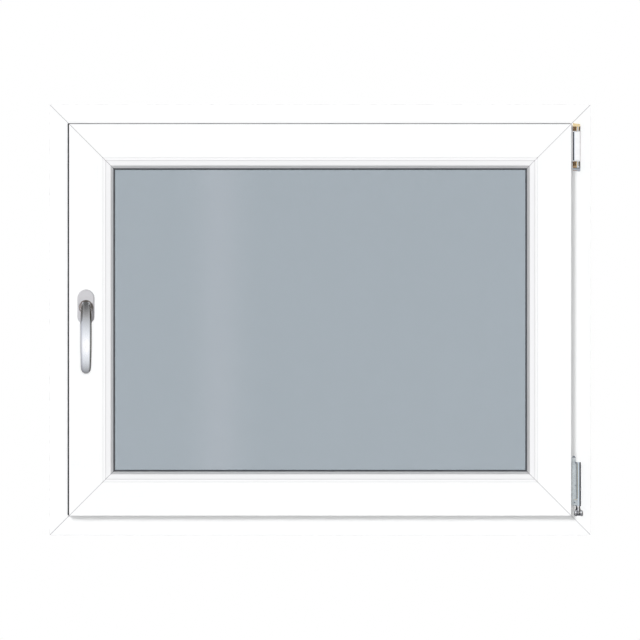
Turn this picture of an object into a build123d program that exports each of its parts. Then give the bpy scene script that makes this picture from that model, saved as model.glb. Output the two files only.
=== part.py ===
"""White PVC tilt-and-turn window: mitred outer frame, closed sash with clipped
glazing beads, double-glazed unit, lever handle on the left stile and a
two-point hinge on the right.

Millimetres. +X to the right as seen from the room, +Y to the outside, +Z up.
The origin is on the underside of the frame's bottom rail, half way along it
and half way through its depth, so the underside is z = 0.

Profile sections are drawn in (u, v): u runs from the frame's outer edge
towards the middle of the pane, v runs from the frame's room face (v = 0)
towards the outside.
"""
from build123d import *
import math
import os

os.makedirs("parts", exist_ok=True)

# ---------------------------------------------------------------- sizes
W, H = 1000.0, 796.0          # outside of the frame
DEPTH = 70.0                  # frame depth
Y0 = -DEPTH / 2               # y of v = 0

U_SASH = 36.0                 # sash lip, room side
U_FLOOR = 44.5                # floor of the frame's rebate
U_FRAME_IN = 67.0             # top of the frame's outer stop
U_SASH_BACK = 57.0            # sash face towards the rebate
U_BEAD = 98.1                 # sash to bead joint, and glazing rebate floor
U_STEP = 102.9                # step along the bead
U_NOSE = 112.8                # bead turns down to the pane
U_SIGHT = 117.6               # bead edge
U_GASKET = 121.0              # inner gasket edge: clear glass starts here
U_PANE = 103.1                # edge of the glass unit

V_SASH = -14.0                # room face of the sash
V_LIP = -4.0                  # back of the sash lip
V_STOP = 48.0                 # frame's outer stop, inner side
V_SASH_STOP = 44.0            # sash side that meets the outer gasket
V_LEG = 40.0                  # inner side of the sash's glazing leg
V_SASH_OUT = 56.0             # weather face of the sash
V_GLASS0, T_PANE, T_GAP = 13.0, 4.0, 16.0   # double glazing 4-16-4

WELD = 0.6                    # half width of the dressed weld groove at mitres
WELD_DEEP = 0.7               # and its depth

# fixing holes through the jambs, for 10 mm frame plugs
FIX_R = 5.25
FIX_Z = (148.0, 648.0)

# handle
HX, HZ = -432.8, 421.5        # turning axis
ROS_W, ROS_H, ROS_T = 31.2, 65.0, 11.0
COLLAR_R, NECK_R = 13.2, 8.8   # flared collar and neck of the lever
BOW_TOP, BOW_LOW = 128.0, 170.0   # radius of the grip's front, above and below its apex
APEX_Y, APEX_DZ = -99.7, -72.0   # apex of the bow
JOURNAL_R, JOURNAL_CLEAR, JOURNAL_L = 11.0, 0.05, 4.0
FACE_GAP = 0.3

# hinge line on the right
AX, AY = 476.5, -41.7
PIN_R = 2.5                   # lower pin
TOP_PIN_R = 2.6               # upper pin

Y_SASH = Y0 + V_SASH          # room face of the sash


# ---------------------------------------------------------------- helpers
def outline(points):
    """Closed face from (a, b, radius) corners, drawn in the XY plane."""
    n = len(points)
    items = []
    first = None
    last = None
    for i in range(n):
        px, py, _ = points[i - 1]
        cx, cy, r = points[i]
        nx, ny, _ = points[(i + 1) % n]
        d0 = (Vector(px, py) - Vector(cx, cy)).normalized()
        d1 = (Vector(nx, ny) - Vector(cx, cy)).normalized()
        c = Vector(cx, cy)
        if r > 0:
            half = math.acos(max(-1.0, min(1.0, d0.dot(d1)))) / 2
            t = r / math.tan(half)
            a, b = c + d0 * t, c + d1 * t
            mid_dir = (d0 + d1).normalized()
            m = c + mid_dir * (r / math.sin(half) - r)
        else:
            a = b = c
            m = None
        if last is not None:
            items.append(Line(last, a))
        else:
            first = a
        if m is not None:
            items.append(ThreePointArc(a, m, b))
        last = b
    items.append(Line(last, first))
    return make_face(items)


def mitred(face, length, top, gap=0.0):
    """Straight length of a section face, cut at 45 degrees at both ends."""
    # section plane: local x -> u (global z), local y -> v (global y)
    plane = Plane(origin=(-length / 2, Y0, 0), x_dir=(0, 0, 1), z_dir=(-1, 0, 0))
    bar = extrude(plane * face, amount=-length)
    h = length / 2 - gap * math.sqrt(2)
    keep = front(0) * make_face(
        Polyline((-h - 5, -5), (h + 5, -5), (h - top, top), (-h + top, top), close=True)
    )
    return bar & extrude(keep, amount=400, both=True)


def rail(section, length, weld=WELD, deep=WELD_DEEP, gap=0.0):
    """Mitred rail: x along the rail and centred, z = u, y = v. With a weld
    width, the last bit at each mitre is set in, so that two rails meet in a
    shallow dressed groove. A gap leaves a hairline between them."""
    face = outline(section)
    top = max(p[0] for p in section) + 5
    if not weld:
        return mitred(face, length, top, gap)
    core = offset(outline([(u, v, 0) for u, v, _ in section]), amount=-deep, kind=Kind.INTERSECTION)
    return mitred(face, length, top, gap + weld) + mitred(core, length, top, gap)


def ring_sides(section, weld=WELD, deep=WELD_DEEP, gap=0.0):
    """The four rails of a rectangular ring: top, bottom, left, right."""
    h = rail(section, W, weld, deep, gap)
    v = rail(section, H, weld, deep, gap)
    return {
        "bottom": h,
        "top": Pos(0, 0, H) * Rot(0, 180, 0) * h,
        "left": Pos(-W / 2, 0, H / 2) * Rot(0, 90, 0) * v,
        "right": Pos(W / 2, 0, H / 2) * Rot(0, -90, 0) * v,
    }


def ring_solid(section):
    """One closed rectangular ring of a section."""
    sides = ring_sides(section, weld=0)
    return sides["bottom"] + sides["top"] + sides["left"] + sides["right"]


def box(x0, x1, y0, y1, z0, z1):
    return Pos((x0 + x1) / 2, (y0 + y1) / 2, (z0 + z1) / 2) * Box(x1 - x0, y1 - y0, z1 - z0)


def rect_ring(u_out, u_in, v0, v1):
    """Rectangular ring between two insets of the frame's outline."""
    a = box(-W / 2 + u_out, W / 2 - u_out, Y0 + v0, Y0 + v1, u_out, H - u_out)
    b = box(-W / 2 + u_in, W / 2 - u_in, Y0 + v0 - 1, Y0 + v1 + 1, u_in, H - u_in)
    return a - b


def bar_y(r, x, z, y0, y1):
    """Round bar along Y."""
    return Pos(x, (y0 + y1) / 2, z) * Rot(90, 0, 0) * Cylinder(r, abs(y1 - y0))


def bar_z(r, x, y, z0, z1):
    """Round bar along Z."""
    return Pos(x, y, (z0 + z1) / 2) * Cylinder(r, abs(z1 - z0))


def front(y, x=0.0, z=0.0):
    """Drawing plane facing the room: local x -> X, local y -> Z."""
    return Plane(origin=(x, y, z), x_dir=(1, 0, 0), z_dir=(0, -1, 0))


parts = {}

# ---------------------------------------------------------------- outer frame
frame_section = [
    (0, 0, 0.3),
    (U_FLOOR, 0, 2.0),
    (U_FLOOR, V_STOP, 1.0),
    (U_FRAME_IN, V_STOP, 1.2),
    (U_FRAME_IN, 51.0, 2.0),
    (64.0, DEPTH, 3.0),
    (0, DEPTH, 1.5),
    (0, 60.0, 0), (3.5, 60.0, 0), (3.5, 54.0, 0), (0, 54.0, 0),
    (0, 16.0, 0), (3.5, 16.0, 0), (3.5, 10.0, 0), (0, 10.0, 0),
]
frame = ring_sides(frame_section)
for side, sx in (("left", -1), ("right", 1)):
    for z in FIX_Z:
        frame[side] -= Pos(sx * (W / 2 - U_FLOOR / 2), 0, z) * Rot(0, 90, 0) * Cylinder(FIX_R, U_FLOOR + 10)
# two drain slots through the weather face of the bottom rail
DRAIN_X, DRAIN_Z = (-300.0, 300.0), 22.0
for x in DRAIN_X:
    frame["bottom"] -= box(x - 14, x + 14, DEPTH / 2 - 12, DEPTH / 2 + 1, DRAIN_Z - 2.5, DRAIN_Z + 2.5)
parts["frame_top_rail"] = frame["top"]
parts["frame_bottom_rail"] = frame["bottom"]
parts["frame_left_jamb"] = frame["left"]
parts["frame_right_jamb"] = frame["right"]

# ---------------------------------------------------------------- sash
sash_section = [
    (U_SASH, V_SASH, 0.5),
    (U_BEAD, V_SASH, 0.6),
    (U_BEAD, V_LEG, 0.9),
    (U_SIGHT + 0.2, V_LEG, 1.0),
    (U_SIGHT + 0.2, 44.0, 2.0),
    (108.4, V_SASH_OUT, 3.0),
    (71.0, V_SASH_OUT, 2.0),
    (71.0, V_SASH_STOP, 1.0),
    (U_SASH_BACK, V_SASH_STOP, 1.5),
    (U_SASH_BACK, V_LIP, 0),
    (U_SASH, V_LIP, 1.0),
]
sash = ring_sides(sash_section)
parts["sash_top_rail"] = sash["top"]
parts["sash_bottom_rail"] = sash["bottom"]
parts["sash_lock_stile"] = sash["left"]
parts["sash_hinge_stile"] = sash["right"]

# ---------------------------------------------------------------- glazing beads
bead_section = [
    (U_BEAD, -13.2, 0.5),
    (U_STEP, -13.2, 0.4),
    (U_STEP + 0.9, -12.0, 0),
    (U_NOSE, -8.0, 1.6),
    (U_SIGHT, 4.0, 1.0),
    (U_SIGHT, 10.0, 0),
    (U_BEAD, 10.0, 0),
]
bead = ring_sides(bead_section, weld=0.5, deep=0.45, gap=0.1)
for side in ("top", "bottom", "left", "right"):
    parts[f"glazing_bead_{side}"] = bead[side]

# ---------------------------------------------------------------- glass unit
def pane(v0, v1, u=U_PANE):
    return box(-W / 2 + u, W / 2 - u, Y0 + v0, Y0 + v1, u, H - u)

V1 = V_GLASS0 + T_PANE
V2 = V1 + T_GAP
parts["glass_pane_room_side"] = pane(V_GLASS0, V1)
parts["glass_pane_weather_side"] = pane(V2, V2 + T_PANE)
parts["glass_edge_seal"] = rect_ring(U_PANE, U_PANE + 4.0, V1, V2)
parts["glass_spacer_bar"] = rect_ring(U_PANE + 4.0, U_PANE + 11.0, V1, V2)

# ---------------------------------------------------------------- gaskets
parts["glazing_gasket_room_side"] = ring_solid(
    [
        (109.4, 10.0, 0),
        (U_SIGHT + 0.05, 10.0, 0),
        (U_SIGHT + 0.05, 8.6, 0.4),
        (U_GASKET - 1.5, 8.6, 1.2),
        (U_GASKET, V_GLASS0, 0),
        (109.4, V_GLASS0, 0),
    ]
)
V3 = V2 + T_PANE
parts["glazing_gasket_weather_side"] = ring_solid(
    [
        (109.4, V3, 0),
        (U_SIGHT + 2.9, V3, 0),
        (U_SIGHT + 2.1, V_LEG + 1.2, 1.2),
        (U_SIGHT + 0.25, V_LEG + 1.2, 0.4),
        (U_SIGHT + 0.25, V_LEG, 0),
        (109.4, V_LEG, 0),
    ]
)
parts["frame_gasket"] = ring_solid(
    [
        (58.5, V_SASH_STOP, 0),
        (70.0, V_SASH_STOP, 0.8),
        (69.2, V_SASH_STOP + 2.2, 0.8),
        (65.5, V_SASH_STOP + 2.2, 0.5),
        (64.5, V_STOP, 0),
        (58.5, V_STOP, 0),
    ]
)
# lip gasket behind the sash edge: it shows along the lock stile and the head,
# and sits on the flat of the frame, short of the rounded rebate edge
LIP_LEFT, LIP_TOP = 2.7, 1.2
lip = box(-W / 2 + U_SASH - LIP_LEFT, W / 2 - U_SASH - 1.0, Y0 + V_LIP, Y0, U_SASH + 1.0, H - U_SASH + LIP_TOP)
lip = fillet(lip.edges().filter_by(Axis.Y), 1.5)
lip = fillet(lip.faces().sort_by(Axis.Y)[0].edges(), 0.8)
lip -= box(-W / 2 + 42.3, W / 2 - 42.3, Y0 + V_LIP - 1, Y0 + 1, 42.3, H - 42.3)

# ---------------------------------------------------------------- lower hinge
ARM_Y0, ARM_Y1 = -38.5, -36.3
SLEEVE_R = ARM_Y1 - AY               # the strap is tangent to the back of the sleeve
XB = W / 2 - U_SASH_BACK             # sash face in the rebate
XS = W / 2 - U_SASH                  # sash edge
Z_STRAP0, Z_STRAP1 = 55.0, 135.0     # strap, without its ear
EAR_X, EAR_R, EAR_TOP = 468.2, 3.7, 146.8
EX0, EX1 = EAR_X - EAR_R, EAR_X + EAR_R
strap = extrude(
    front(ARM_Y1)
    * make_face(
        [
            *Polyline((XB, Z_STRAP0), (AX, Z_STRAP0), (AX, Z_STRAP1), (EX1 + 1.6, Z_STRAP1)).edges(),
            ThreePointArc((EX1 + 1.6, Z_STRAP1), (EX1 + 0.47, Z_STRAP1 + 0.47), (EX1, Z_STRAP1 + 1.6)),
            Line((EX1, Z_STRAP1 + 1.6), (EX1, EAR_TOP - EAR_R)),
            ThreePointArc((EX1, EAR_TOP - EAR_R), (EAR_X, EAR_TOP), (EX0, EAR_TOP - EAR_R)),
            Line((EX0, EAR_TOP - EAR_R), (EX0, Z_STRAP1 - 1.5)),
            *Polyline((EX0, Z_STRAP1 - 1.5), (XB, Z_STRAP1 - 1.5), (XB, Z_STRAP0)).edges(),
        ]
    ),
    amount=ARM_Y1 - ARM_Y0,
)
# seam where the rolled sleeve closes on the strap
SEAM_X0, SEAM_X1, SEAM_Y = 474.6, 476.2, AY - 3.2
# thick leaf beside the sleeve, flat up to the seam
LEAF_Y = -45.4
leaf = box(XS + 1.2, SEAM_X0 + 0.6, LEAF_Y, ARM_Y0, Z_STRAP0, Z_STRAP1)
leaf = chamfer(leaf.faces().sort_by(Axis.Y)[0].edges(), 0.35)
band = strap + leaf + bar_z(SLEEVE_R, AX, AY, 53.8, Z_STRAP1)
# arched tab on the foot of the strap, up to the front of the sleeve
TAB_X0, TAB_X1, TAB_Z = 467.4, 476.2, 62.4
tab = extrude(
    front(ARM_Y0)
    * make_face(
        [
            *Polyline((TAB_X0, TAB_Z), (TAB_X0, Z_STRAP0), (TAB_X1, Z_STRAP0), (TAB_X1, TAB_Z)).edges(),
            ThreePointArc((TAB_X1, TAB_Z), ((TAB_X0 + TAB_X1) / 2, TAB_Z + 4.6), (TAB_X0, TAB_Z)),
        ]
    ),
    amount=ARM_Y0 + 46.4,
)
tab = chamfer(tab.faces().sort_by(Axis.Y)[0].edges(), 0.5)
band += tab
band += box(XB, XB + 2.4, ARM_Y0, -14.0, 58, 130)
band -= box(SEAM_X0, SEAM_X1, -52.0, SEAM_Y, 68.4, 132.6)
# parting groove round the sleeve
PART_Z0, PART_Z1 = 91.4, 93.2
band -= bar_z(9, AX, AY - 10.0, PART_Z0, PART_Z1) & (
    bar_z(9, AX, AY, PART_Z0, PART_Z1) - bar_z(SLEEVE_R - 0.8, AX, AY, PART_Z0 - 1, PART_Z1 + 1)
)
band -= bar_z(PIN_R + 0.2, AX, AY, 48, 140)
band -= bar_y(1.5, 467.9, 142.2, -45, -30)
band -= bar_y(1.3, 470.2, 60.6, -48, -43.4)
parts["lower_hinge_strap"] = band

parts["lower_hinge_pin"] = bar_z(PIN_R, AX, AY, 50.0, Z_STRAP1 - 0.6)

# three-lobed corner bearing: a middle cone between two lobes, on a dished body
BZ = 35.2                            # underside of the bearing


def turned(x, y, points):
    """Solid of revolution about a vertical axis from (radius, height) points."""
    return revolve(
        front(y, x)
        * make_face(
            [
                Line((0, points[0][1]), points[0]),
                Spline(*points),
                Line(points[-1], (0, points[-1][1])),
                Line((0, points[-1][1]), (0, points[0][1])),
            ]
        ),
        axis=Axis((x, y, 0), (0, 0, 1)),
    )


bell = turned(AX, AY, [(5.4, BZ + 0.6), (6.0, BZ + 4.0), (5.4, BZ + 9.0), (4.3, BZ + 14.0), (3.9, BZ + 18.4)])
bell += turned(AX + 0.7, AY - 6.0, [(1.6, BZ + 2.2), (2.6, BZ + 4.2), (2.5, BZ + 8.0), (1.9, BZ + 13.0), (1.2, BZ + 16.6)])
for x in (AX - 4.3, AX + 6.0):
    bell += turned(x, AY - 4.4, [(1.8, BZ), (2.7, BZ + 1.4), (3.1, BZ + 4.6), (2.7, BZ + 8.2), (1.4, BZ + 11.4)])
bell -= bar_z(PIN_R + 0.02, AX, AY, 50.0, 60)
bell -= box(AX - 30, AX + 30, Y0, Y0 + 40, 0, 100)
parts["lower_hinge_bearing"] = bell

# ---------------------------------------------------------------- upper hinge
T0, T1 = 672.3, 761.6
BX0, BX1 = 467.0, 480.6              # width of the bearing
Y_LUG = -46.2                        # front of the bearing's lugs
ROOF = 755.2
bearing = box(BX0, BX1, Y0 - 1.1, Y0, T0 + 6.7, 757.0)
bearing += extrude(
    front(Y0)
    * make_face(Polyline((BX0, ROOF), (BX1 - 0.4, ROOF), (BX1 - 0.4, T1 - 2.0), (BX0, T1), close=True)),
    amount=Y0 - Y_LUG,
)
# lugs above and below the cap: a splayed cheek, and a web beside the pin
for z0, z1 in ((747.8, ROOF + 0.6), (682.6, 690.2)):
    cheek = make_face(Polyline((BX0, Y0 - 1.0), (BX0, -45.6), (472.4, -40.2), (472.4, Y0 - 1.0), close=True))
    web = make_face(
        Polyline((477.4, Y0 - 1.0), (476.6, -45.4), (477.0, Y_LUG), (478.6, Y_LUG), (BX1, -43.4), (BX1, Y0 - 1.0), close=True)
    )
    for face in (cheek, web):
        bearing += Pos(0, 0, z0) * extrude(face, amount=z1 - z0)
foot = extrude(
    front(Y0)
    * make_face(
        [
            *Polyline((BX1 - 1.6, T0), (BX0, T0 + 0.9), (BX0, T0 + 6.7), (BX1, T0 + 6.7), (BX1, T0 + 1.6)).edges(),
            ThreePointArc((BX1, T0 + 1.6), (BX1 - 0.47, T0 + 0.47), (BX1 - 1.6, T0)),
        ]
    ),
    amount=Y0 - Y_LUG,
)
foot = chamfer(foot.faces().sort_by(Axis.Y)[0].edges().filter_by(Axis.X), 1.2)
bearing -= bar_z(TOP_PIN_R + 0.02, AX, AY, 670, 758.4)
foot -= bar_z(TOP_PIN_R + 0.02, AX, AY, 674.4, 690)
parts["upper_hinge_bracket"] = bearing
parts["upper_hinge_foot"] = foot
parts["upper_hinge_pin"] = bar_z(TOP_PIN_R, AX, AY, 674.4, 758.0)

EYE_R = 3.6
CX0, CX1, CZ0, CZ1 = 468.9, 481.2, 691.0, 747.0     # cap
Z_EYE0, Z_EYE1 = CZ0 + 1.2, CZ1 - 1.2
eye = bar_z(EYE_R, AX, AY, Z_EYE0, Z_EYE1)
eye += box(XB, AX, ARM_Y0, ARM_Y1, Z_EYE0, Z_EYE1)
eye += box(XB, XB + 2.4, ARM_Y0, -14.0, 695, 743)
eye -= bar_z(TOP_PIN_R + 0.1, AX, AY, 688, 750)
parts["upper_hinge_arm"] = eye

HOLLOW = EYE_R + 0.3
cap_face = make_face(
    [
        Line((CX0, -38.8), (CX0, -47.8)),
        ThreePointArc((CX0, -47.8), ((CX0 + CX1) / 2, -49.0), (CX1, -47.8)),
        Line((CX1, -47.8), (CX1, -37.0)),
        Line((CX1, -37.0), (AX + HOLLOW, -37.0)),
        Line((AX + HOLLOW, -37.0), (AX + HOLLOW, AY)),
        ThreePointArc((AX + HOLLOW, AY), (AX, AY - HOLLOW), (AX - HOLLOW, AY)),
        Line((AX - HOLLOW, AY), (AX - HOLLOW, -38.8)),
        Line((AX - HOLLOW, -38.8), (CX0, -38.8)),
    ]
)
cap = Pos(0, 0, CZ0) * extrude(cap_face, amount=CZ1 - CZ0)
# the front runs out to bevelled ends
for z, sgn in ((CZ0, -1), (CZ1, 1)):
    wedge = extrude(
        Plane(origin=(CX0 - 1, 0, 0), x_dir=(0, 1, 0), z_dir=(1, 0, 0))
        * make_face(Polyline((-50.0, z + sgn), (-46.6, z + sgn), (-46.6, z), (-48.6, z - sgn * 1.4), (-50.0, z - sgn * 2.4), close=True)),
        amount=CX1 - CX0 + 2,
    )
    cap -= wedge
# side flange towards the sash, with a long slot over the arm
FLANGE_X, SLOT_X = XS + 0.5, XS + 2.9
flange = box(FLANGE_X, CX0 + 0.6, -39.6, -38.8, CZ0, CZ1)
flange -= box(SLOT_X, CX0 + 5, -41, -38, CZ0 + 1.4, CZ1 - 1.4)
cap += flange
parts["upper_hinge_cover"] = cap

# the lip gasket is notched where the two hinge arms pass under the sash edge
lip -= box(440, 480, -40, -34, Z_STRAP0 - 0.5, Z_STRAP1 - 1.0)
lip -= box(440, 480, -40, -34, Z_EYE0 - 0.5, Z_EYE1 + 0.5)
parts["sash_gasket"] = lip

# ---------------------------------------------------------------- drain caps
caps = []
for x in DRAIN_X:
    hood = Pos(x, DEPTH / 2 + 2.0, DRAIN_Z) * Box(42, 4, 15)
    hood = fillet(hood.edges().filter_by(Axis.Y), 4.0)
    hood = chamfer(hood.faces().sort_by(Axis.Y)[-1].edges(), 1.2)
    hood -= box(x - 15, x + 15, DEPTH / 2 - 1, DEPTH / 2 + 2.4, DRAIN_Z - 10, DRAIN_Z - 1)
    caps.append(hood)
parts["drain_caps"] = Compound(caps)

# ---------------------------------------------------------------- handle
Y_ROS = Y_SASH - ROS_T
seat = extrude(front(Y_SASH, HX, HZ) * SlotOverall(ROS_H, ROS_W, rotation=90), amount=2.0)
neckline = extrude(front(Y_SASH - 2.0, HX, HZ) * SlotOverall(ROS_H - 1.0, ROS_W - 1.0, rotation=90), amount=0.6)
cover = extrude(front(Y_SASH - 2.6, HX, HZ) * SlotOverall(ROS_H, ROS_W, rotation=90), amount=ROS_T - 2.6)
cover = fillet(cover.faces().sort_by(Axis.Y)[0].edges(), 2.4)
ros = seat + neckline + cover
ros -= bar_y(JOURNAL_R + JOURNAL_CLEAR, HX, HZ, Y_ROS - 1, Y_ROS + JOURNAL_L + 0.3)
parts["handle_rosette"] = ros

Y_FOOT = Y_ROS - FACE_GAP
journal = bar_y(JOURNAL_R, HX, HZ, Y_FOOT - 1.0, Y_ROS + JOURNAL_L)
# flared collar at the root of the lever
collar = revolve(
    Plane(origin=(HX, 0, HZ), x_dir=(1, 0, 0), z_dir=(0, 0, 1))
    * make_face(
        Polyline(
            (0, Y_FOOT), (COLLAR_R - 0.3, Y_FOOT), (COLLAR_R, Y_FOOT - 0.3), (COLLAR_R, Y_FOOT - 0.9),
            (NECK_R, Y_FOOT - 3.6), (0, Y_FOOT - 3.6), close=True,
        )
    ),
    axis=Axis((HX, 0, HZ), (0, 1, 0)),
)


def bow(phi, depth):
    """Point and downward direction on the grip's bow, a depth behind its front."""
    r = BOW_TOP if phi >= 0 else BOW_LOW
    f = math.radians(phi)
    y = APEX_Y + r - (r - depth) * math.cos(f)
    z = HZ + APEX_DZ + (r - depth) * math.sin(f)
    return Vector(HX, y, z), Vector(0, -math.sin(f), -math.cos(f))


def section(phi, a, b, n, sunk):
    """Rounded section of the grip: half width, half depth, squareness."""
    pts = []
    for i in range(24):
        t = 2 * math.pi * i / 24
        c, s = math.cos(t), math.sin(t)
        pts.append(
            (a * math.copysign(abs(c) ** (2 / n), c), b * math.copysign(abs(s) ** (2 / n), s))
        )
    at, down = bow(phi, b + sunk)
    return Plane(origin=at, x_dir=(1, 0, 0), z_dir=down) * make_face(Spline(*pts, periodic=True))


# the neck, cut off slantwise inside the grip
neck = bar_y(NECK_R, HX, HZ, -95.0, Y_FOOT - 1.0)
at, down = bow(34.0, 5.0)
neck -= Plane(origin=at, x_dir=(1, 0, 0), z_dir=down) * Pos(0, 30, 0) * Box(60, 60, 120)
# the grip: angle along the bow, half width, half depth, squareness, depth below the front
grip = loft(
    [
        section(40.0, 8.0, 4.6, 2.1, 0.0),
        section(35.0, 9.5, 5.9, 2.3, 0.0),
        section(28.5, 10.1, 6.3, 2.6, 0.0),
        section(20.0, 10.28, 6.25, 2.9, 0.0),
        section(10.0, 10.27, 6.1, 3.05, 0.0),
        section(0.0, 10.15, 6.1, 3.1, 0.0),
        section(-8.0, 9.7, 5.95, 3.0, 0.0),
        section(-13.5, 9.1, 5.65, 2.85, 0.05),
        section(-15.9, 7.9, 4.9, 2.6, 0.4),
        section(-16.95, 6.2, 3.9, 2.4, 0.9),
        section(-17.6, 4.2, 2.6, 2.2, 1.6),
        section(-17.85, 2.2, 1.4, 2.0, 2.4),
    ]
)
lever = grip + neck + collar + journal
parts["handle_lever"] = lever

for name, shape in parts.items():
    export_step(shape, f"parts/{name}.step")
print(len(parts), "nodes")
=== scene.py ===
"""White PVC tilt-and-turn window, seen straight on from the room side."""
import math

import bmesh
import bpy
from mathutils import Matrix, Vector

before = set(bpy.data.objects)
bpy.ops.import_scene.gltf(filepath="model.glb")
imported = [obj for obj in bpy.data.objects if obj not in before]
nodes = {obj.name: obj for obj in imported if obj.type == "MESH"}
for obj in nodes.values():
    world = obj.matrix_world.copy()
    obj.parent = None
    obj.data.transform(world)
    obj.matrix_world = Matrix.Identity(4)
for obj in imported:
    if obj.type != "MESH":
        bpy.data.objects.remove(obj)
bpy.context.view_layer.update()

scene = bpy.context.scene
W, H = 1.0, 0.796               # outside of the frame, metres

# ------------------------------------------------------------------ node helpers


class Tree:
    """Small helper around a material's or world's node tree."""

    def __init__(self, owner):
        owner.use_nodes = True
        self.nt = owner.node_tree
        self.nt.nodes.clear()

    def add(self, kind, **props):
        n = self.nt.nodes.new(kind)
        for k, v in props.items():
            setattr(n, k, v)
        return n

    def link(self, a, b):
        self.nt.links.new(a, b)

    def put(self, socket, value):
        """Set a socket to a constant or link an output to it."""
        if isinstance(value, bpy.types.NodeSocket):
            self.link(value, socket)
        else:
            socket.default_value = value

    def coords(self, scale=(1, 1, 1), loc=(0, 0, 0)):
        tc = self.add("ShaderNodeTexCoord")
        mp = self.add("ShaderNodeMapping")
        mp.inputs["Scale"].default_value = scale
        mp.inputs["Location"].default_value = loc
        self.link(tc.outputs["Object"], mp.inputs["Vector"])
        return mp.outputs["Vector"]

    def noise(self, vec, scale, detail=4.0, rough=0.55, distort=0.0):
        n = self.add("ShaderNodeTexNoise")
        n.inputs["Scale"].default_value = scale
        n.inputs["Detail"].default_value = detail
        n.inputs["Roughness"].default_value = rough
        n.inputs["Distortion"].default_value = distort
        self.link(vec, n.inputs["Vector"])
        return n.outputs["Fac"]

    def voronoi(self, vec, scale, feature="F1", out="Distance", randomness=1.0):
        n = self.add("ShaderNodeTexVoronoi", feature=feature)
        n.inputs["Scale"].default_value = scale
        n.inputs["Randomness"].default_value = randomness
        self.link(vec, n.inputs["Vector"])
        return n.outputs[out]

    def math(self, op, a, b=0.0, c=0.0, clamp=False):
        n = self.add("ShaderNodeMath", operation=op, use_clamp=clamp)
        self.put(n.inputs[0], a)
        self.put(n.inputs[1], b)
        self.put(n.inputs[2], c)
        return n.outputs[0]

    def remap(self, v, lo, hi, to_lo, to_hi, smooth=False):
        n = self.add("ShaderNodeMapRange", interpolation_type="SMOOTHSTEP" if smooth else "LINEAR")
        self.put(n.inputs["Value"], v)
        n.inputs["From Min"].default_value = lo
        n.inputs["From Max"].default_value = hi
        self.put(n.inputs["To Min"], to_lo)
        self.put(n.inputs["To Max"], to_hi)
        return n.outputs["Result"]

    def ramp(self, fac, stops, mode="LINEAR"):
        n = self.add("ShaderNodeValToRGB")
        cr = n.color_ramp
        cr.interpolation = mode
        while len(cr.elements) < len(stops):
            cr.elements.new(0.5)
        for e, (p, c) in zip(cr.elements, stops):
            e.position = p
            e.color = (*c, 1.0)
        self.link(fac, n.inputs["Fac"])
        return n.outputs["Color"]

    def mix(self, fac, a, b, blend="MIX"):
        n = self.add("ShaderNodeMix", data_type="RGBA", blend_type=blend)
        self.put(n.inputs["Factor"], fac)
        self.put(n.inputs[6], a if isinstance(a, bpy.types.NodeSocket) else (*a, 1.0))
        self.put(n.inputs[7], b if isinstance(b, bpy.types.NodeSocket) else (*b, 1.0))
        return n.outputs[2]

    def bump(self, height, strength, distance, normal=None):
        n = self.add("ShaderNodeBump")
        n.inputs["Strength"].default_value = strength
        n.inputs["Distance"].default_value = distance
        self.link(height, n.inputs["Height"])
        if normal is not None:
            self.link(normal, n.inputs["Normal"])
        return n.outputs["Normal"]

    def zoned(self, base, zones, mottle):
        """Lay tones over boxes (x0, x1, z0, z1) given in metres, their strength mottled by noise. Most tones are
        painted shade, highlights and reflections.
        """
        tc = self.add("ShaderNodeTexCoord")
        at = self.add("ShaderNodeSeparateXYZ")
        self.link(tc.outputs["Object"], at.inputs[0])
        for (x0, x1, z0, z1), tone in zones:
            on = self.math("MULTIPLY", self.remap(at.outputs["X"], x0, x0 + 0.0002, 0.0, 1.0), self.remap(at.outputs["X"], x1 - 0.0002, x1, 1.0, 0.0))
            on = self.math("MULTIPLY", on, self.remap(at.outputs["Z"], z0, z0 + 0.0004, 0.0, 1.0))
            on = self.math("MULTIPLY", on, self.remap(at.outputs["Z"], z1 - 0.0004, z1, 1.0, 0.0))
            on = self.math("MULTIPLY", on, self.remap(mottle, 0.3, 0.7, 0.88, 1.0))
            base = self.mix(on, base, tone)
        return base

    def principled(self, **sockets):
        p = self.add("ShaderNodeBsdfPrincipled")
        for k, v in sockets.items():
            self.put(p.inputs[k.replace("_", " ")], v)
        out = self.add("ShaderNodeOutputMaterial")
        self.link(p.outputs["BSDF"], out.inputs["Surface"])
        return p


def new_tree(name):
    m = bpy.data.materials.new(name)
    return m, Tree(m)


# ------------------------------------------------------------------ materials


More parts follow.
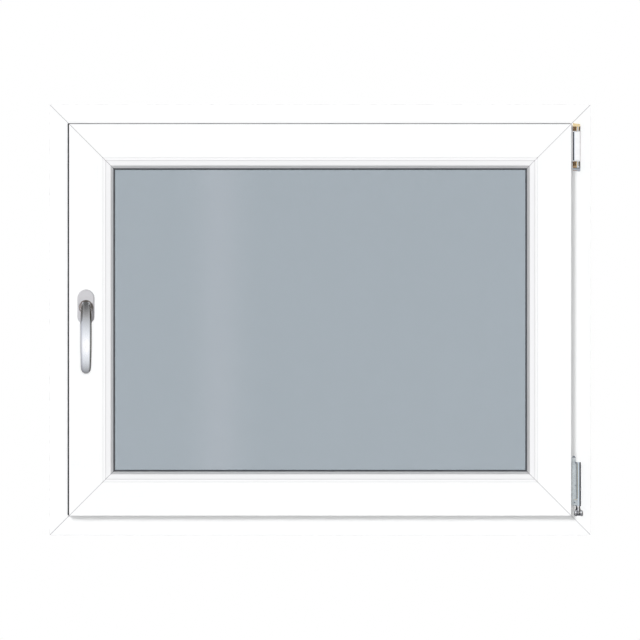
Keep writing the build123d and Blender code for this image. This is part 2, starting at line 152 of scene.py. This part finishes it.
def pvc(name, along, tint=(0.905, 0.91, 0.912), rough=0.34, seed=0.0, weld=None, zones=(), shade_bands=()):
    """White extruded plastic: faint die lines along the profile over an orange-peel skin.
    With a weld width, painted shade colours the dressed groove along the frame's mitres a darker grey.
    Stripes (from, to, tone) of painted shade run along the profile, in metres from the frame's edge."""
    m, t = new_tree(name)
    stretch = {"x": (1.5, 620, 620), "z": (620, 620, 1.5), "m": (60, 60, 60)}[along]
    lines = t.noise(t.coords(stretch, (seed, seed, seed)), 1.0, 3.0, 0.6)
    peel = t.noise(t.coords((1, 1, 1), (seed, 0, 0)), 420.0, 2.0, 0.5)
    cloud = t.noise(t.coords((1, 1, 1), (0, seed, 0)), 5.0, 5.0, 0.6)
    specks = t.noise(t.coords((1, 1, 1), (0, 0, seed)), 1500.0, 1.0, 0.5)
    base = t.mix(t.remap(cloud, 0.3, 0.7, 0.0, 1.0), tuple(c * 0.985 for c in tint), tint)
    base = t.mix(t.remap(specks, 0.70, 0.78, 0.0, 0.18), base, tuple(c * 0.93 for c in tint))
    r = t.math("ADD", t.remap(lines, 0.3, 0.7, rough - 0.05, rough + 0.05), t.remap(cloud, 0.3, 0.7, -0.03, 0.04))
    if weld:
        tc = t.add("ShaderNodeTexCoord")
        sep = t.add("ShaderNodeSeparateXYZ")
        t.link(tc.outputs["Object"], sep.inputs[0])
        across = t.math("SUBTRACT", W / 2, t.math("ABSOLUTE", sep.outputs["X"]))
        up = t.math("MINIMUM", sep.outputs["Z"], t.math("SUBTRACT", H, sep.outputs["Z"]))
        inset = t.math("MINIMUM", across, up)
        # painted shade stripes along the profile
        for start, end, tone in shade_bands:
            on = t.math("MULTIPLY", t.remap(inset, start, start + 0.0004, 0.0, 1.0), t.remap(inset, end - 0.0004, end, 1.0, 0.0))
            base = t.mix(on, base, tuple(c * tone for c in tint))
        # painted shade: the weld groove along the mitres is coloured a darker grey
        off = t.math("ABSOLUTE", t.math("SUBTRACT", across, up))
        on = t.remap(off, weld * 1.1, weld * 1.5, 1.0, 0.0, smooth=True)
        on = t.math("MULTIPLY", on, t.remap(cloud, 0.3, 0.7, 0.85, 1.0))
        base = t.mix(on, base, (0.45, 0.445, 0.46))
        r = t.math("ADD", r, t.math("MULTIPLY", on, 0.2))
    if zones:
        base = t.zoned(base, zones, cloud)
    n = t.bump(lines, 0.10, 0.00006)
    n = t.bump(peel, 0.08, 0.00005, n)
    t.principled(Base_Color=base, Roughness=r, Normal=n, IOR=1.5, Specular_IOR_Level=0.45)
    return m


def rubber(name, dark, light, rough=0.62):
    """Extruded sealing rubber with a matt, slightly dusty skin."""
    m, t = new_tree(name)
    v = t.coords()
    fine = t.noise(v, 900.0, 3.0, 0.6)
    dust = t.noise(v, 34.0, 5.0, 0.65)
    base = t.mix(t.remap(dust, 0.42, 0.72, 0.0, 1.0), dark, light)
    r = t.remap(fine, 0.3, 0.7, rough - 0.08, rough + 0.1)
    n = t.bump(fine, 0.25, 0.0001)
    t.principled(Base_Color=base, Roughness=r, Normal=n, IOR=1.5, Specular_IOR_Level=0.4)
    return m


def metal(name, dark, light, rough, brush=(700, 700, 6), spread=0.06, patch=40.0, bump=0.12, spangle=0.0, zones=(), foot=None, edge=0.0, metallic=1.0):
    """Bare, plated or lacquered metal: brushed grain, blotchy plating and a worn roughness.
    Zones are boxes of another tone, most of them painted shade, highlights and reflections; foot is a tone beyond a
    depth, used to paint shade on the lever's collar; edge is how much painted shade darkens the rim."""
    m, t = new_tree(name)
    grain = t.noise(t.coords(brush), 1.0, 3.0, 0.6)
    blotch = t.noise(t.coords(), patch, 5.0, 0.6, 0.4)
    base = t.mix(t.remap(blotch, 0.3, 0.7, 0.0, 1.0), dark, light)
    if spangle:
        cells = t.voronoi(t.coords(), 520.0, out="Color")
        sep = t.add("ShaderNodeSeparateColor")
        t.link(cells, sep.inputs[0])
        base = t.mix(t.math("MULTIPLY", sep.outputs[0], spangle), base, tuple(min(1.0, c * 1.25) for c in light))
    if zones:
        base = t.zoned(base, zones, blotch)
    if foot:
        start, tone = foot
        tc = t.add("ShaderNodeTexCoord")
        at = t.add("ShaderNodeSeparateXYZ")
        t.link(tc.outputs["Object"], at.inputs[0])
        on = t.remap(at.outputs["Y"], start - 0.0006, start, 0.0, 1.0, smooth=True)
        base = t.mix(t.math("MULTIPLY", on, t.remap(blotch, 0.3, 0.7, 0.9, 1.0)), base, tone)
    if edge:
        lw = t.add("ShaderNodeLayerWeight")
        lw.inputs["Blend"].default_value = 0.5
        base = t.mix(t.remap(lw.outputs["Facing"], 0.25, 0.85, 0.0, edge), base, tuple(c * 0.25 for c in dark))
    r = t.math(
        "ADD",
        t.remap(grain, 0.3, 0.7, rough - spread, rough + spread),
        t.remap(blotch, 0.3, 0.7, -spread * 0.6, spread * 0.8),
        clamp=True,
    )
    n = t.bump(grain, bump, 0.00005)
    t.principled(Base_Color=base, Metallic=metallic, Roughness=r, Normal=n)
    return m


def glass(name, tint):
    """Float glass: blue-grey body tint, roller waviness and a trace of dust."""
    m, t = new_tree(name)
    v = t.coords()
    film = t.noise(t.coords((3, 3, 0.6)), 2.2, 4.0, 0.5)
    dust = t.noise(v, 260.0, 3.0, 0.6)
    wave = t.noise(t.coords((6, 6, 2)), 1.0, 1.0, 0.4)
    base = t.mix(t.remap(film, 0.3, 0.7, 0.0, 1.0), tuple(c * 0.997 for c in tint), tuple(min(1.0, c * 1.003) for c in tint))
    r = t.remap(dust, 0.55, 0.8, 0.0, 0.015)
    n = t.bump(wave, 0.02, 0.0004)
    t.principled(Base_Color=base, Roughness=r, Normal=n, IOR=1.48, Transmission_Weight=1.0)
    return m


# painted shade on the outer half of the bead's flat, and at the foot of its step
BEAD_SHADE_BANDS = [(0.0963, 0.1002, 0.91), (0.1020, 0.1052, 0.92)]
M = {
    "pvc_x": pvc("pvc_rail", "x", weld=0.0006),
    "pvc_z": pvc("pvc_jamb", "z", seed=3.1, weld=0.0006),
    "sash_x": pvc("pvc_sash_rail", "x", seed=7.7, weld=0.0006),
    "sash_z": pvc("pvc_sash_stile", "z", seed=11.3, weld=0.0006),
    "bead_x": pvc("pvc_bead_x", "x", tint=(0.895, 0.895, 0.905), rough=0.3, seed=1.9, weld=0.0005, shade_bands=BEAD_SHADE_BANDS),
    "bead_z": pvc("pvc_bead_z", "z", tint=(0.895, 0.895, 0.905), rough=0.3, seed=5.3, weld=0.0005, shade_bands=BEAD_SHADE_BANDS),
    "cap": pvc(
        "moulded_cap", "m", tint=(0.86, 0.868, 0.88), rough=0.28, seed=2.2,
        # painted shade: the flange in shadow, and the cover's bluish left and grey right edges
        zones=[
            ((0.4651, 0.4672, 0.6900, 0.7480), (0.49, 0.48, 0.49)),
            ((0.4687, 0.4708, 0.6900, 0.7480), (0.58, 0.62, 0.68)),
            ((0.4796, 0.4816, 0.6900, 0.7480), (0.58, 0.54, 0.55)),
        ],
    ),
    "gasket": rubber("gasket_rubber", (0.085, 0.09, 0.10), (0.115, 0.12, 0.132)),
    "lip": rubber("lip_rubber", (0.030, 0.029, 0.033), (0.045, 0.043, 0.049), 0.7),
    "seal": rubber("edge_sealant", (0.02, 0.02, 0.022), (0.035, 0.035, 0.038), 0.7),
    "glass": glass("float_glass", (0.5885, 0.6315, 0.6645)),
    "spacer": metal("spacer_aluminium", (0.55, 0.56, 0.58), (0.70, 0.71, 0.73), 0.38, brush=(8, 900, 8)),
    "lever": metal(
        "lever_anodised", (0.90, 0.90, 0.91), (0.93, 0.93, 0.94), 0.22, brush=(1500, 1500, 14), spread=0.03, patch=18.0, bump=0.03,
        # painted shade and dark reflection: the lever's foot beyond this depth, at the collar, is toned brown, and the
        # two boxes darken the collar's sides
        foot=(-0.0642, (0.46, 0.40, 0.36)),
        zones=[((-0.4427, -0.4398, 0.4190, 0.4302), (0.28, 0.25, 0.23)), ((-0.4258, -0.4229, 0.4190, 0.4302), (0.28, 0.25, 0.23))],
    ),
    "rosette": metal(
        "rosette_lacquer", (0.745, 0.735, 0.76), (0.785, 0.775, 0.80), 0.34, brush=(900, 900, 900), spread=0.03, patch=30.0, bump=0.04,
        # the rim darkening set here is painted shade
        edge=0.9, metallic=0.12,
    ),
    "zinc": metal(
        "zinc_plate", (0.395, 0.43, 0.445), (0.515, 0.55, 0.56), 0.30, brush=(420, 420, 20), patch=120.0, bump=0.2, spangle=0.30,
        zones=[
            ((0.4744, 0.4764, 0.0682, 0.1328), (0.35, 0.35, 0.295)),
            # painted highlight down the sleeve's crown, then painted shade on its right flank
            ((0.4764, 0.4784, 0.0538, 0.1352), (0.61, 0.69, 0.77)),
            ((0.4784, 0.4799, 0.0538, 0.1352), (0.72, 0.77, 0.82)),
            ((0.4799, 0.4830, 0.0538, 0.1352), (0.13, 0.14, 0.155)),
            # painted highlight on the tab's arched top edge, painted shade in its dimple
            ((0.4694, 0.4752, 0.0652, 0.0672), (0.72, 0.66, 0.54)),
            ((0.4688, 0.4716, 0.0592, 0.0620), (0.16, 0.19, 0.22)),
            # painted shade round the ear's rim and on its right shoulder, with a painted bright spot in its hole
            ((0.4662, 0.4725, 0.1428, 0.1470), (0.17, 0.185, 0.21)),
            ((0.4668, 0.4694, 0.1408, 0.1430), (0.85, 0.88, 0.92)),
            ((0.4706, 0.4728, 0.1322, 0.1380), (0.20, 0.215, 0.24)),
            ((0.4650, 0.4820, 0.6716, 0.6792), (0.36, 0.385, 0.42)),
            ((0.4668, 0.4748, 0.6735, 0.6752), (0.40, 0.30, 0.25)),
        ],
    ),
    "gold": metal(
        "yellow_zinc", (0.66, 0.50, 0.26), (0.84, 0.71, 0.45), 0.24, brush=(500, 500, 500), patch=160.0, bump=0.15,
        zones=[
            # painted shade: the bracket's left block and right side as seen in shade, and a darker web on the lower
            # lug
            ((0.4660, 0.4728, 0.6700, 0.7556), (0.36, 0.235, 0.135)),
            ((0.4780, 0.4820, 0.6700, 0.7556), (0.17, 0.18, 0.20)),
            ((0.4762, 0.4782, 0.6700, 0.6904), (0.40, 0.34, 0.22)),
        ],
    ),
    "pin": metal("ground_steel", (0.66, 0.70, 0.75), (0.80, 0.83, 0.87), 0.2, brush=(30, 30, 1400), patch=90.0, bump=0.12),
    # near-black arm: dark steel whose tone also paints the shade in the slot beside the cover
    "dark": metal("dark_steel", (0.016, 0.019, 0.030), (0.034, 0.038, 0.054), 0.45, brush=(400, 400, 40), patch=80.0, bump=0.15),
    "nickel": metal(
        "polished_nickel", (0.74, 0.74, 0.75), (0.90, 0.89, 0.87), 0.08, brush=(300, 300, 300), spread=0.025, patch=150.0, bump=0.06,
        zones=[
            # painted shade in the bearing's dark gaps, under its cone, along its feet and at its lobes' outer sides
            ((0.4700, 0.4755, 0.0466, 0.0545), (0.02, 0.021, 0.023)),
            ((0.4789, 0.4830, 0.0466, 0.0545), (0.03, 0.031, 0.033)),
            ((0.4746, 0.4794, 0.0408, 0.0458), (0.30, 0.30, 0.31)),
            ((0.4670, 0.4860, 0.0362, 0.0412), (0.25, 0.25, 0.26)),
            ((0.4670, 0.4709, 0.0412, 0.0470), (0.22, 0.22, 0.23)),
            ((0.4834, 0.4860, 0.0412, 0.0470), (0.30, 0.30, 0.31)),
        ],
    ),
}

FINISH = {
    "frame_top_rail": "pvc_x", "frame_bottom_rail": "pvc_x", "frame_left_jamb": "pvc_z", "frame_right_jamb": "pvc_z",
    "sash_top_rail": "sash_x", "sash_bottom_rail": "sash_x", "sash_lock_stile": "sash_z", "sash_hinge_stile": "sash_z",
    "glazing_bead_top": "bead_x", "glazing_bead_bottom": "bead_x", "glazing_bead_left": "bead_z", "glazing_bead_right": "bead_z",
    "frame_gasket": "gasket", "sash_gasket": "lip", "glazing_gasket_room_side": "gasket", "glazing_gasket_weather_side": "gasket",
    "glass_pane_room_side": "glass", "glass_pane_weather_side": "glass", "glass_spacer_bar": "spacer", "glass_edge_seal": "seal",
    "handle_rosette": "rosette", "handle_lever": "lever",
    "upper_hinge_bracket": "gold", "upper_hinge_foot": "zinc", "upper_hinge_pin": "pin", "upper_hinge_arm": "dark", "upper_hinge_cover": "cap",
    "lower_hinge_strap": "zinc", "lower_hinge_pin": "pin", "lower_hinge_bearing": "nickel",
    "drain_caps": "cap",
}
for node, key in FINISH.items():
    o = nodes[node]
    o.data.materials.clear()
    o.data.materials.append(M[key])
for node in ("glass_pane_room_side", "glass_pane_weather_side"):
    nodes[node].visible_shadow = False

# ------------------------------------------------------------------ stage
bm = bmesh.new()
bmesh.ops.create_grid(bm, x_segments=2, y_segments=2, size=7.0)
me = bpy.data.meshes.new("studio_floor")
bm.to_mesh(me)
bm.free()
floor = bpy.data.objects.new("studio_floor", me)
scene.collection.objects.link(floor)
floor.location = (0, 0, -0.0005)
mf, t = new_tree("floor_paint")
grain = t.noise(t.coords(), 60.0, 4.0, 0.6)
t.principled(
    Base_Color=t.mix(t.remap(grain, 0.3, 0.7, 0.0, 1.0), (0.80, 0.80, 0.805), (0.83, 0.83, 0.835)),
    Roughness=t.remap(grain, 0.3, 0.7, 0.55, 0.7),
    Specular_IOR_Level=0.0,
)
floor.data.materials.append(mf)
floor.visible_diffuse = False
floor.visible_glossy = False
floor.visible_shadow = False

# ------------------------------------------------------------------ world and lights
world = bpy.data.worlds.new("studio")
scene.world = world
t = Tree(world)
tc = t.add("ShaderNodeTexCoord")
sep = t.add("ShaderNodeSeparateXYZ")
t.link(tc.outputs["Generated"], sep.inputs[0])
X, Y, Z = sep.outputs
# what shiny things mirror: brightest ahead, falling off upwards and downwards, a little
# blue at half height, darker at the right
level_by_height = [
    (-1.0, 0.25), (-0.70, 0.35), (-0.51, 0.50), (-0.43, 0.62), (-0.31, 0.82), (-0.18, 1.02), (-0.04, 1.15),
    (0.09, 1.13), (0.275, 0.99), (0.44, 0.83), (0.57, 0.71), (0.71, 0.54), (0.775, 0.42), (0.83, 0.31),
    (0.88, 0.22), (0.94, 0.14), (0.97, 0.075), (1.0, 0.05),
]
stops = []
for z, e in level_by_height:
    blue = 1.0 if 0.15 < abs(z) < 0.75 else 0.0
    stops.append(((z + 1) / 2, (e * (1 - 0.035 * blue) / 2, e / 2, e * (1 + 0.05 * blue) / 2)))
high = t.ramp(t.remap(Z, -1.0, 1.0, 0.0, 1.0), stops)
side = t.ramp(
    t.remap(X, -1.0, 1.0, 0.0, 1.0),
    [
        ((x + 1) / 2, (e, e * g, e * b))
        for x, e, g, b in [
            (-1.0, 0.50, 1, 1.06), (-0.75, 0.72, 1, 1.05), (-0.5, 0.95, 1, 1.02), (-0.3, 1.0, 1, 1), (0.45, 1.0, 1, 1),
            (0.57, 0.86, 1, 1), (0.70, 0.48, 0.99, 0.97), (0.82, 0.25, 0.97, 0.93), (0.93, 0.13, 0.95, 0.88), (1.0, 0.09, 0.92, 0.82),
        ]
    ],
)
bg_room = t.add("ShaderNodeBackground")
t.link(t.mix(1.0, high, side, blend="MULTIPLY"), bg_room.inputs["Color"])
bg_room.inputs["Strength"].default_value = 2.0
bg_seen = t.add("ShaderNodeBackground")
bg_seen.inputs["Color"].default_value = (1.0, 1.0, 1.0, 1.0)
bg_seen.inputs["Strength"].default_value = 1.0
bg_fill = t.add("ShaderNodeBackground")
bg_fill.inputs["Color"].default_value = (1.0, 1.0, 1.0, 1.0)
bg_fill.inputs["Strength"].default_value = 0.30
lp = t.add("ShaderNodeLightPath")
mix1 = t.add("ShaderNodeMixShader")
t.link(lp.outputs["Is Glossy Ray"], mix1.inputs[0])
t.link(bg_fill.outputs[0], mix1.inputs[1])
t.link(bg_room.outputs[0], mix1.inputs[2])
seen = t.math("MAXIMUM", lp.outputs["Is Camera Ray"], lp.outputs["Is Transmission Ray"])
mix2 = t.add("ShaderNodeMixShader")
t.link(seen, mix2.inputs[0])
t.link(mix1.outputs[0], mix2.inputs[1])
t.link(bg_seen.outputs[0], mix2.inputs[2])
out = t.add("ShaderNodeOutputWorld")
t.link(mix2.outputs[0], out.inputs["Surface"])


def sun(name, towards, strength, spread):
    d = bpy.data.lights.new(name, "SUN")
    d.energy = strength
    d.angle = math.radians(spread)
    o = bpy.data.objects.new(name, d)
    scene.collection.objects.link(o)
    o.rotation_euler = Vector(towards).to_track_quat("-Z", "Y").to_euler()
    o.visible_glossy = False
    o.visible_transmission = False
    return o


def linked(name, objects, exclude=False):
    c = bpy.data.collections.new(name)
    for o in objects:
        c.objects.link(o)
    if exclude:
        for item in c.collection_objects:
            item.light_linking.link_state = "EXCLUDE"
    return c


# the slanting key falls on the outer frame, the rosette and the floor, and only the rails,
# the sash and the lever throw its shadow; everything else is lit level from the front
rails = [nodes[n] for n in ("frame_top_rail", "frame_bottom_rail", "frame_left_jamb", "frame_right_jamb")]
leaf = [o for n, o in nodes.items() if n.startswith(("sash_", "glazing_bead_"))]
rosette, lever = nodes["handle_rosette"], nodes["handle_lever"]
key = sun("key", (0.575, 1.0, -0.575), 1.90, 20.0)
key.light_linking.receiver_collection = linked("key_receivers", rails + [floor, rosette])
key.light_linking.blocker_collection = linked("key_blockers", rails + leaf + [lever])
front = sun("front", (0, 1, 0), 1.10, 6.0)
front.light_linking.receiver_collection = linked("front_receivers", [rosette], exclude=True)
level = sun("front_level", (0, 1, 0), 1.47, 6.0)
level.light_linking.receiver_collection = linked("level_receivers", rails + [floor, rosette], exclude=True)
sun("rear", (-0.3, -1.0, -0.4), 2.0, 15.0)

# soft bright strip behind the camera, seen only as a band of reflection in the glass
bm = bmesh.new()
bmesh.ops.create_grid(bm, x_segments=1, y_segments=1, size=0.5)
me = bpy.data.meshes.new("strip_card")
bm.to_mesh(me)
bm.free()
card = bpy.data.objects.new("strip_card", me)
scene.collection.objects.link(card)
card.location = (-0.187, -3.3, 0.4)
card.rotation_euler = (math.radians(90), 0, 0)
card.scale = (0.16, 1.2, 1.0)
mc, t = new_tree("strip_glow")
tc = t.add("ShaderNodeTexCoord")
sep = t.add("ShaderNodeSeparateXYZ")
t.link(tc.outputs["Object"], sep.inputs[0])
fall = t.math("MULTIPLY", sep.outputs["X"], 3.6)
fall = t.math("POWER", 2.71828, t.math("MULTIPLY", t.math("MULTIPLY", fall, fall), -1.0))
glow = t.add("ShaderNodeEmission")
t.link(t.math("MULTIPLY_ADD", fall, 0.85, 1.17), glow.inputs["Strength"])
t.link(t.mix(fall, (1.0, 1.0, 1.0), (1.0, 0.925, 0.95)), glow.inputs["Color"])
out = t.add("ShaderNodeOutputMaterial")
t.link(glow.outputs[0], out.inputs["Surface"])
card.data.materials.append(mc)
card.visible_camera = False
card.visible_diffuse = False
card.visible_transmission = False
card.visible_shadow = False

# narrow flags behind both sides of the lever, seen only as the dark edges mirrored in it
HX, HZ = -0.4328, 0.4215
APEX_Y, APEX_Z = -0.0997, HZ - 0.072
for name, x, behind, ahead, tip, low, top in (
    ("flag_left", HX - 0.0150, 0.0055, 0.0130, (0.07, 0.065, 0.06), (0.42, 0.43, 0.46), (0.10, 0.095, 0.09)),
    ("flag_right", HX + 0.0150, 0.0025, 0.0060, (0.035, 0.030, 0.026), (0.060, 0.050, 0.042), (0.040, 0.033, 0.027)),
):
    bm = bmesh.new()
    strip = []
    for i in range(16):
        z = 0.294 + 0.0095 * i
        r = 0.128 if z > APEX_Z else 0.170
        y = APEX_Y + r - math.sqrt(r * r - (z - APEX_Z) ** 2) + behind
        y -= (behind + ahead) * min(1.0, max(0.0, (z - 0.392) / 0.016))
        strip.append((bm.verts.new((x, min(y, -0.0725), z)), bm.verts.new((x, -0.0700, z))))
    for (a, b), (c, d) in zip(strip, strip[1:]):
        bm.faces.new((a, b, d, c))
    me = bpy.data.meshes.new(name)
    bm.to_mesh(me)
    bm.free()
    flag = bpy.data.objects.new(name, me)
    scene.collection.objects.link(flag)
    mg, t = new_tree(name)
    tc = t.add("ShaderNodeTexCoord")
    sep = t.add("ShaderNodeSeparateXYZ")
    t.link(tc.outputs["Object"], sep.inputs[0])
    glow = t.add("ShaderNodeEmission")
    tone = t.mix(t.remap(sep.outputs["Z"], 0.306, 0.340, 0.0, 1.0), tip, low)
    t.link(t.mix(t.remap(sep.outputs["Z"], 0.385, 0.418, 0.0, 1.0), tone, top), glow.inputs["Color"])
    # only the lever beside it mirrors a flag: longer rays pass through
    lp = t.add("ShaderNodeLightPath")
    clear = t.add("ShaderNodeBsdfTransparent")
    pick = t.add("ShaderNodeMixShader")
    t.link(t.math("LESS_THAN", lp.outputs["Ray Length"], 0.035), pick.inputs[0])
    t.link(clear.outputs[0], pick.inputs[1])
    t.link(glow.outputs[0], pick.inputs[2])
    out = t.add("ShaderNodeOutputMaterial")
    t.link(pick.outputs[0], out.inputs["Surface"])
    flag.data.materials.append(mg)
    flag.visible_camera = False
    flag.visible_diffuse = False
    flag.visible_transmission = False
    flag.visible_shadow = False

# ------------------------------------------------------------------ camera
cam_data = bpy.data.cameras.new("camera")
cam_data.type = "ORTHO"
cam_data.ortho_scale = 640 / 541.2
cam_data.clip_end = 50
cam = bpy.data.objects.new("camera", cam_data)
scene.collection.objects.link(cam)
cam.location = (-0.00037, -3.0, 0.39776)
cam.rotation_euler = (math.radians(90), 0, 0)
scene.camera = cam
scene.view_settings.view_transform = "Standard"
scene.view_settings.look = "None"
